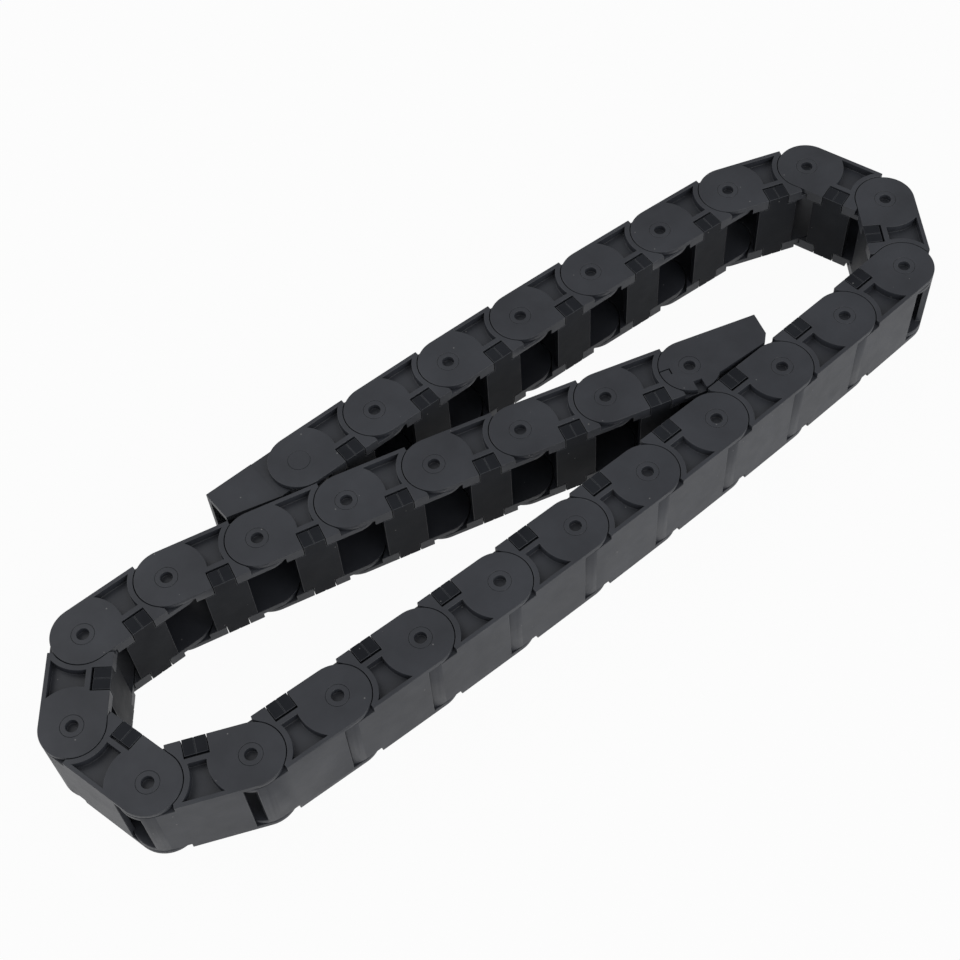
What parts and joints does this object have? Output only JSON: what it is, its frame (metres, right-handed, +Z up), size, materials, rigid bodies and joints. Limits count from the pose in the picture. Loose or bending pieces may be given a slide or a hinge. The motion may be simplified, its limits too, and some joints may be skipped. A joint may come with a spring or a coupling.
{
  "type": "cable drag chain",
  "caption": "Articulated cable drag chain in black plastic: hinged box links with clip-in crossbars and a screw-down bracket at each end, coiled on its side.",
  "frame": {"origin": "Under the middle of the coil, in the plane that the chain lies on.", "axes": "+X along the first straight run, from the start bracket towards the first turn; +Y out of the start bracket's base plate; +Z up, along every hinge."},
  "size_m": [0.3758, 0.1056, 0.0326],
  "materials": {
    "link_plastic": "moulded, fine matte",
    "crossbar_plastic": "moulded, fine matte"
  },
  "bodies": {
    "bracket_start": {"bracket_start": "link_plastic"},
    "link_01": {"link_01": "link_plastic"},
    "link_02": {"link_02": "link_plastic"},
    "link_03": {"link_03": "link_plastic"},
    "link_04": {"link_04": "link_plastic"},
    "link_05": {"link_05": "link_plastic"},
    "link_06": {"link_06": "link_plastic"},
    "link_07": {"link_07": "link_plastic"},
    "link_08": {"link_08": "link_plastic"},
    "link_09": {"link_09": "link_plastic"},
    "link_10": {"link_10": "link_plastic"},
    "link_11": {"link_11": "link_plastic"},
    "link_12": {"link_12": "link_plastic"},
    "link_13": {"link_13": "link_plastic"},
    "link_14": {"link_14": "link_plastic"},
    "link_15": {"link_15": "link_plastic"},
    "link_16": {"link_16": "link_plastic"},
    "link_17": {"link_17": "link_plastic"},
    "link_18": {"link_18": "link_plastic"},
    "link_19": {"link_19": "link_plastic"},
    "link_20": {"link_20": "link_plastic"},
    "link_21": {"link_21": "link_plastic"},
    "link_22": {"link_22": "link_plastic"},
    "link_23": {"link_23": "link_plastic"},
    "link_24": {"link_24": "link_plastic"},
    "link_25": {"link_25": "link_plastic"},
    "link_26": {"link_26": "link_plastic"},
    "link_27": {"link_27": "link_plastic"},
    "link_28": {"link_28": "link_plastic"},
    "crossbar_01": {"crossbar_01": "crossbar_plastic"},
    "crossbar_02": {"crossbar_02": "crossbar_plastic"},
    "crossbar_03": {"crossbar_03": "crossbar_plastic"},
    "crossbar_04": {"crossbar_04": "crossbar_plastic"},
    "crossbar_05": {"crossbar_05": "crossbar_plastic"},
    "crossbar_06": {"crossbar_06": "crossbar_plastic"},
    "crossbar_07": {"crossbar_07": "crossbar_plastic"},
    "crossbar_08": {"crossbar_08": "crossbar_plastic"},
    "crossbar_09": {"crossbar_09": "crossbar_plastic"},
    "crossbar_10": {"crossbar_10": "crossbar_plastic"},
    "crossbar_11": {"crossbar_11": "crossbar_plastic"},
    "crossbar_12": {"crossbar_12": "crossbar_plastic"},
    "crossbar_13": {"crossbar_13": "crossbar_plastic"},
    "crossbar_14": {"crossbar_14": "crossbar_plastic"},
    "crossbar_15": {"crossbar_15": "crossbar_plastic"},
    "crossbar_16": {"crossbar_16": "crossbar_plastic"},
    "crossbar_17": {"crossbar_17": "crossbar_plastic"},
    "crossbar_18": {"crossbar_18": "crossbar_plastic"},
    "crossbar_19": {"crossbar_19": "crossbar_plastic"},
    "crossbar_20": {"crossbar_20": "crossbar_plastic"},
    "crossbar_21": {"crossbar_21": "crossbar_plastic"},
    "crossbar_22": {"crossbar_22": "crossbar_plastic"},
    "crossbar_23": {"crossbar_23": "crossbar_plastic"},
    "crossbar_24": {"crossbar_24": "crossbar_plastic"},
    "crossbar_25": {"crossbar_25": "crossbar_plastic"},
    "crossbar_26": {"crossbar_26": "crossbar_plastic"},
    "crossbar_27": {"crossbar_27": "crossbar_plastic"},
    "crossbar_28": {"crossbar_28": "crossbar_plastic"},
    "bracket_end": {"bracket_end": "link_plastic"}
  },
  "joints": [
    {"name": "hinge_01", "type": "hinge", "parent": "bracket_start", "child": "link_01", "pos_m": [-0.06175, 0.04172, 0.0163], "axis": [0, 0, 1], "range_deg": [-51.47, 0.73]},
    {"name": "hinge_02", "type": "hinge", "parent": "link_01", "child": "link_02", "pos_m": [-0.02875, 0.0413, 0.0163], "axis": [0, 0, 1], "range_deg": [-51.47, 0.73]},
    {"name": "hinge_03", "type": "hinge", "parent": "link_02", "child": "link_03", "pos_m": [0.00424, 0.04046, 0.0163], "axis": [0, 0, 1], "range_deg": [-51.47, 0.73]},
    {"name": "hinge_04", "type": "hinge", "parent": "link_03", "child": "link_04", "pos_m": [0.03721, 0.0392, 0.0163], "axis": [0, 0, 1], "range_deg": [-51.47, 0.73]},
    {"name": "hinge_05", "type": "hinge", "parent": "link_04", "child": "link_05", "pos_m": [0.07017, 0.03752, 0.0163], "axis": [0, 0, 1], "range_deg": [-51.47, 0.73]},
    {"name": "hinge_06", "type": "hinge", "parent": "link_05", "child": "link_06", "pos_m": [0.1031, 0.03542, 0.0163], "axis": [0, 0, 1], "range_deg": [-51.47, 0.73]},
    {"name": "hinge_07", "type": "hinge", "parent": "link_06", "child": "link_07", "pos_m": [0.13601, 0.0329, 0.0163], "axis": [0, 0, 1], "range_deg": [-36.22, 15.98]},
    {"name": "hinge_08", "type": "hinge", "parent": "link_07", "child": "link_08", "pos_m": [0.16695, 0.02142, 0.0163], "axis": [0, 0, 1], "range_deg": [0, 52.2]},
    {"name": "hinge_09", "type": "hinge", "parent": "link_08", "child": "link_09", "pos_m": [0.17684, -0.01007, 0.0163], "axis": [0, 0, 1], "range_deg": [0, 52.2]},
    {"name": "hinge_10", "type": "hinge", "parent": "link_09", "child": "link_10", "pos_m": [0.15802, -0.03718, 0.0163], "axis": [0, 0, 1], "range_deg": [0, 52.2]},
    {"name": "hinge_11", "type": "hinge", "parent": "link_10", "child": "link_11", "pos_m": [0.12507, -0.03893, 0.0163], "axis": [0, 0, 1], "range_deg": [-51.47, 0.73]},
    {"name": "hinge_12", "type": "hinge", "parent": "link_11", "child": "link_12", "pos_m": [0.09209, -0.04026, 0.0163], "axis": [0, 0, 1], "range_deg": [-51.47, 0.73]},
    {"name": "hinge_13", "type": "hinge", "parent": "link_12", "child": "link_13", "pos_m": [0.05911, -0.04117, 0.0163], "axis": [0, 0, 1], "range_deg": [-51.47, 0.73]},
    {"name": "hinge_14", "type": "hinge", "parent": "link_13", "child": "link_14", "pos_m": [0.02611, -0.04165, 0.0163], "axis": [0, 0, 1], "range_deg": [-51.47, 0.73]},
    {"name": "hinge_15", "type": "hinge", "parent": "link_14", "child": "link_15", "pos_m": [-0.00689, -0.04172, 0.0163], "axis": [0, 0, 1], "range_deg": [-51.47, 0.73]},
    {"name": "hinge_16", "type": "hinge", "parent": "link_15", "child": "link_16", "pos_m": [-0.03989, -0.04137, 0.0163], "axis": [0, 0, 1], "range_deg": [-51.47, 0.73]},
    {"name": "hinge_17", "type": "hinge", "parent": "link_16", "child": "link_17", "pos_m": [-0.07288, -0.0406, 0.0163], "axis": [0, 0, 1], "range_deg": [-51.47, 0.73]},
    {"name": "hinge_18", "type": "hinge", "parent": "link_17", "child": "link_18", "pos_m": [-0.10586, -0.03941, 0.0163], "axis": [0, 0, 1], "range_deg": [-51.47, 0.73]},
    {"name": "hinge_19", "type": "hinge", "parent": "link_18", "child": "link_19", "pos_m": [-0.13882, -0.03779, 0.0163], "axis": [0, 0, 1], "range_deg": [-31, 21.2]},
    {"name": "hinge_20", "type": "hinge", "parent": "link_19", "child": "link_20", "pos_m": [-0.16897, -0.02437, 0.0163], "axis": [0, 0, 1], "range_deg": [0, 52.2]},
    {"name": "hinge_21", "type": "hinge", "parent": "link_20", "child": "link_21", "pos_m": [-0.17684, 0.00768, 0.0163], "axis": [0, 0, 1], "range_deg": [0, 52.2]},
    {"name": "hinge_22", "type": "hinge", "parent": "link_21", "child": "link_22", "pos_m": [-0.15634, 0.03354, 0.0163], "axis": [0, 0, 1], "range_deg": [0, 52.2]},
    {"name": "hinge_23", "type": "hinge", "parent": "link_22", "child": "link_23", "pos_m": [-0.12334, 0.03319, 0.0163], "axis": [0, 0, 1], "range_deg": [-39.59, 12.61]},
    {"name": "hinge_24", "type": "hinge", "parent": "link_23", "child": "link_24", "pos_m": [-0.09121, 0.02565, 0.0163], "axis": [0, 0, 1], "range_deg": [-51.47, 0.73]},
    {"name": "hinge_25", "type": "hinge", "parent": "link_24", "child": "link_25", "pos_m": [-0.05919, 0.0177, 0.0163], "axis": [0, 0, 1], "range_deg": [-51.47, 0.73]},
    {"name": "hinge_26", "type": "hinge", "parent": "link_25", "child": "link_26", "pos_m": [-0.02726, 0.00934, 0.0163], "axis": [0, 0, 1], "range_deg": [-51.47, 0.73]},
    {"name": "hinge_27", "type": "hinge", "parent": "link_26", "child": "link_27", "pos_m": [0.00455, 0.00057, 0.0163], "axis": [0, 0, 1], "range_deg": [-51.47, 0.73]},
    {"name": "hinge_28", "type": "hinge", "parent": "link_27", "child": "link_28", "pos_m": [0.03625, -0.0086, 0.0163], "axis": [0, 0, 1], "range_deg": [-51.47, 0.73]},
    {"name": "hinge_29", "type": "hinge", "parent": "link_28", "child": "bracket_end", "pos_m": [0.06783, -0.01817, 0.0163], "axis": [0, 0, 1], "range_deg": [-51.47, 0.73]},
    {"name": "crossbar_01_pull", "type": "slide", "parent": "link_01", "child": "crossbar_01", "axis": [-0.0127, -0.9999, 0], "range_m": [0, 0.007]},
    {"name": "crossbar_02_pull", "type": "slide", "parent": "link_02", "child": "crossbar_02", "axis": [-0.0255, -0.9997, 0], "range_m": [0, 0.007]},
    {"name": "crossbar_03_pull", "type": "slide", "parent": "link_03", "child": "crossbar_03", "axis": [-0.0382, -0.9993, 0], "range_m": [0, 0.007]},
    {"name": "crossbar_04_pull", "type": "slide", "parent": "link_04", "child": "crossbar_04", "axis": [-0.0509, -0.9987, 0], "range_m": [0, 0.007]},
    {"name": "crossbar_05_pull", "type": "slide", "parent": "link_05", "child": "crossbar_05", "axis": [-0.0637, -0.998, 0], "range_m": [0, 0.007]},
    {"name": "crossbar_06_pull", "type": "slide", "parent": "link_06", "child": "crossbar_06", "axis": [-0.0764, -0.9971, 0], "range_m": [0, 0.007]},
    {"name": "crossbar_07_pull", "type": "slide", "parent": "link_07", "child": "crossbar_07", "axis": [-0.3479, -0.9375, 0], "range_m": [0, 0.007]},
    {"name": "crossbar_08_pull", "type": "slide", "parent": "link_08", "child": "crossbar_08", "axis": [-0.954, -0.2997, 0], "range_m": [0, 0.007]},
    {"name": "crossbar_09_pull", "type": "slide", "parent": "link_09", "child": "crossbar_09", "axis": [-0.8215, 0.5702, 0], "range_m": [0, 0.007]},
    {"name": "crossbar_10_pull", "type": "slide", "parent": "link_10", "child": "crossbar_10", "axis": [-0.053, 0.9986, 0], "range_m": [0, 0.007]},
    {"name": "crossbar_11_pull", "type": "slide", "parent": "link_11", "child": "crossbar_11", "axis": [-0.0403, 0.9992, 0], "range_m": [0, 0.007]},
    {"name": "crossbar_12_pull", "type": "slide", "parent": "link_12", "child": "crossbar_12", "axis": [-0.0276, 0.9996, 0], "range_m": [0, 0.007]},
    {"name": "crossbar_13_pull", "type": "slide", "parent": "link_13", "child": "crossbar_13", "axis": [-0.0148, 0.9999, 0], "range_m": [0, 0.007]},
    {"name": "crossbar_14_pull", "type": "slide", "parent": "link_14", "child": "crossbar_14", "axis": [-0.0021, 1, 0], "range_m": [0, 0.007]},
    {"name": "crossbar_15_pull", "type": "slide", "parent": "link_15", "child": "crossbar_15", "axis": [0.0107, 0.9999, 0], "range_m": [0, 0.007]},
    {"name": "crossbar_16_pull", "type": "slide", "parent": "link_16", "child": "crossbar_16", "axis": [0.0234, 0.9997, 0], "range_m": [0, 0.007]},
    {"name": "crossbar_17_pull", "type": "slide", "parent": "link_17", "child": "crossbar_17", "axis": [0.0361, 0.9993, 0], "range_m": [0, 0.007]},
    {"name": "crossbar_18_pull", "type": "slide", "parent": "link_18", "child": "crossbar_18", "axis": [0.0489, 0.9988, 0], "range_m": [0, 0.007]},
    {"name": "crossbar_19_pull", "type": "slide", "parent": "link_19", "child": "crossbar_19", "axis": [0.4068, 0.9135, 0], "range_m": [0, 0.007]},
    {"name": "crossbar_20_pull", "type": "slide", "parent": "link_20", "child": "crossbar_20", "axis": [0.9711, 0.2385, 0], "range_m": [0, 0.007]},
    {"name": "crossbar_21_pull", "type": "slide", "parent": "link_21", "child": "crossbar_21", "axis": [0.7837, -0.6212, 0], "range_m": [0, 0.007]},
    {"name": "crossbar_22_pull", "type": "slide", "parent": "link_22", "child": "crossbar_22", "axis": [-0.0105, -0.9999, 0], "range_m": [0, 0.007]},
    {"name": "crossbar_23_pull", "type": "slide", "parent": "link_23", "child": "crossbar_23", "axis": [-0.2286, -0.9735, 0], "range_m": [0, 0.007]},
    {"name": "crossbar_24_pull", "type": "slide", "parent": "link_24", "child": "crossbar_24", "axis": [-0.241, -0.9705, 0], "range_m": [0, 0.007]},
    {"name": "crossbar_25_pull", "type": "slide", "parent": "link_25", "child": "crossbar_25", "axis": [-0.2533, -0.9674, 0], "range_m": [0, 0.007]},
    {"name": "crossbar_26_pull", "type": "slide", "parent": "link_26", "child": "crossbar_26", "axis": [-0.2656, -0.9641, 0], "range_m": [0, 0.007]},
    {"name": "crossbar_27_pull", "type": "slide", "parent": "link_27", "child": "crossbar_27", "axis": [-0.2779, -0.9606, 0], "range_m": [0, 0.007]},
    {"name": "crossbar_28_pull", "type": "slide", "parent": "link_28", "child": "crossbar_28", "axis": [-0.2901, -0.957, 0], "range_m": [0, 0.007]}
  ],
  "couplings": [
    {"joint": "hinge_01", "follows": "hinge_09", "ratio": -0.53008},
    {"joint": "hinge_02", "follows": "hinge_09", "ratio": -0.53008},
    {"joint": "hinge_03", "follows": "hinge_09", "ratio": -0.53008},
    {"joint": "hinge_04", "follows": "hinge_09", "ratio": -0.53008},
    {"joint": "hinge_05", "follows": "hinge_09", "ratio": -0.53008},
    {"joint": "hinge_06", "follows": "hinge_09", "ratio": -0.53008},
    {"joint": "hinge_07", "follows": "hinge_09", "ratio": 0.30615},
    {"joint": "hinge_08", "follows": "hinge_09", "ratio": 1},
    {"joint": "hinge_10", "follows": "hinge_09", "ratio": 1},
    {"joint": "hinge_11", "follows": "hinge_09", "ratio": -0.32318},
    {"joint": "hinge_12", "follows": "hinge_09", "ratio": -0.32318},
    {"joint": "hinge_13", "follows": "hinge_09", "ratio": -0.32318},
    {"joint": "hinge_14", "follows": "hinge_09", "ratio": -0.32318},
    {"joint": "hinge_15", "follows": "hinge_09", "ratio": -0.32318},
    {"joint": "hinge_16", "follows": "hinge_09", "ratio": -0.32318},
    {"joint": "hinge_17", "follows": "hinge_09", "ratio": -0.32318},
    {"joint": "hinge_18", "follows": "hinge_09", "ratio": -0.32318},
    {"joint": "hinge_19", "follows": "hinge_09", "ratio": 0.40613},
    {"joint": "hinge_20", "follows": "hinge_09", "ratio": 1},
    {"joint": "hinge_21", "follows": "hinge_09", "ratio": 1},
    {"joint": "hinge_22", "follows": "hinge_09", "ratio": 1},
    {"joint": "hinge_23", "follows": "hinge_09", "ratio": -0.60895},
    {"joint": "hinge_24", "follows": "hinge_09", "ratio": -0.76571},
    {"joint": "hinge_25", "follows": "hinge_09", "ratio": -0.76571},
    {"joint": "hinge_26", "follows": "hinge_09", "ratio": -0.76571},
    {"joint": "hinge_27", "follows": "hinge_09", "ratio": -0.76571},
    {"joint": "hinge_28", "follows": "hinge_09", "ratio": -0.76571},
    {"joint": "hinge_29", "follows": "hinge_09", "ratio": -0.76571},
    {"joint": "crossbar_01_pull", "follows": "hinge_09", "m_per_rad": 0.0076834},
    {"joint": "crossbar_12_pull", "follows": "hinge_09", "m_per_rad": 0.0076834},
    {"joint": "crossbar_13_pull", "follows": "hinge_09", "m_per_rad": 0.0076834},
    {"joint": "crossbar_28_pull", "follows": "hinge_09", "m_per_rad": 0.0076834}
  ]
}
